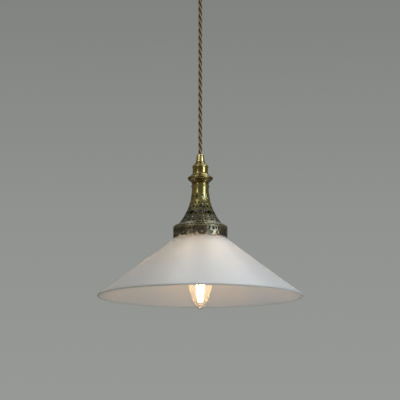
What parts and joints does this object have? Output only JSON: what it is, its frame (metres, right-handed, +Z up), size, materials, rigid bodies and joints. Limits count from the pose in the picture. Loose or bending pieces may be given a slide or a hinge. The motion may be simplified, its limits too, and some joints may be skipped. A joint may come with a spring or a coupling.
{
  "type": "pendant ceiling light",
  "caption": "Brass and opal glass pendant light: ceiling rose, twisted flex, pierced horn gallery, wide conical shade and candle bulb.",
  "frame": {"origin": "centre of the ceiling bracket's top face, where the rose meets the ceiling", "axes": "+Z up along the lamp's own axis, +X along the ceiling bracket and towards the viewer's right, -Y towards the viewer"},
  "size_m": [0.255, 0.255, 0.4392],
  "materials": {
    "aged_brass": "aged and polished",
    "steel": "zinc plated",
    "nickel": "nickel plated",
    "opal_glass": "gloss outside, satin inside",
    "clear_glass": "clear gloss",
    "lit_stick": "glowing",
    "ceramic": "glazed",
    "white_nylon": "plain",
    "soft_silicone": "soft",
    "twisted_cloth": "woven sleeve",
    "core_sleeve": "insulated wire"
  },
  "bodies": {
    "rose": {"ceiling_bracket": "steel", "cup_screws": "aged_brass", "rose_cup": "aged_brass", "earth_screw": "nickel", "terminal_block": "white_nylon", "terminal_barrels": "nickel", "terminal_screws": "nickel", "rose_grip_base": "aged_brass", "rose_grip_cone": "aged_brass", "rose_grip_collet": "white_nylon", "rose_nut": "steel", "rose_cores": "core_sleeve", "flex_top": "twisted_cloth"},
    "bend": {"flex_bend": "twisted_cloth"},
    "lamp": {"flex": "twisted_cloth", "grip_base": "aged_brass", "grip_cone": "aged_brass", "grip_collet": "white_nylon", "top_cap": "aged_brass", "stem_coupler": "steel", "knuckle": "aged_brass", "gallery_horn": "aged_brass", "gallery_bead_ring": "aged_brass", "gallery_skirt": "aged_brass", "stem": "steel", "stem_nut": "steel", "upper_washer": "soft_silicone", "upper_ring": "aged_brass", "holder_cap": "aged_brass", "holder_sleeve": "aged_brass", "holder_insert": "ceramic", "holder_shell": "nickel", "holder_contact": "nickel", "holder_terminals": "nickel", "holder_cores": "core_sleeve"},
    "shade": {"shade_glass": "opal_glass", "lower_washer": "soft_silicone"},
    "ring": {"shade_ring": "aged_brass"},
    "bulb_base": {"bulb_contact": "nickel"},
    "bulb": {"bulb_cap": "nickel", "bulb_insulator": "ceramic", "bulb_glass": "clear_glass", "bulb_mount": "clear_glass", "filaments": "lit_stick", "filament_leads": "nickel"}
  },
  "joints": [
    {"name": "swing_front_back", "type": "hinge", "parent": "rose", "child": "bend", "pos_m": [0, 0, -0.0381], "axis": [1, 0, 0], "range_deg": [-15, 15]},
    {"name": "swing_left_right", "type": "hinge", "parent": "bend", "child": "lamp", "pos_m": [0, 0, -0.0681], "axis": [0, 1, 0], "range_deg": [-15, 15]},
    {"name": "shade_drop", "type": "slide", "parent": "lamp", "child": "shade", "axis": [0, 0, -1], "range_m": [0, 0.006]},
    {"name": "ring_turn", "type": "hinge", "parent": "shade", "child": "ring", "pos_m": [0, 0, -0.349], "axis": [0, 0, -1], "range_deg": [0, 1080]},
    {"name": "bulb_travel", "type": "slide", "parent": "lamp", "child": "bulb_base", "axis": [0, 0, -1], "range_m": [0, 0.017]},
    {"name": "bulb_turn", "type": "hinge", "parent": "bulb_base", "child": "bulb", "pos_m": [0, 0, -0.38], "axis": [0, 0, -1], "range_deg": [0, 2160]}
  ],
  "couplings": [
    {"joint": "ring_turn", "follows": "shade_drop", "rad_per_m": 3141.6},
    {"joint": "bulb_travel", "follows": "bulb_turn", "m_per_rad": 0.00044913}
  ]
}
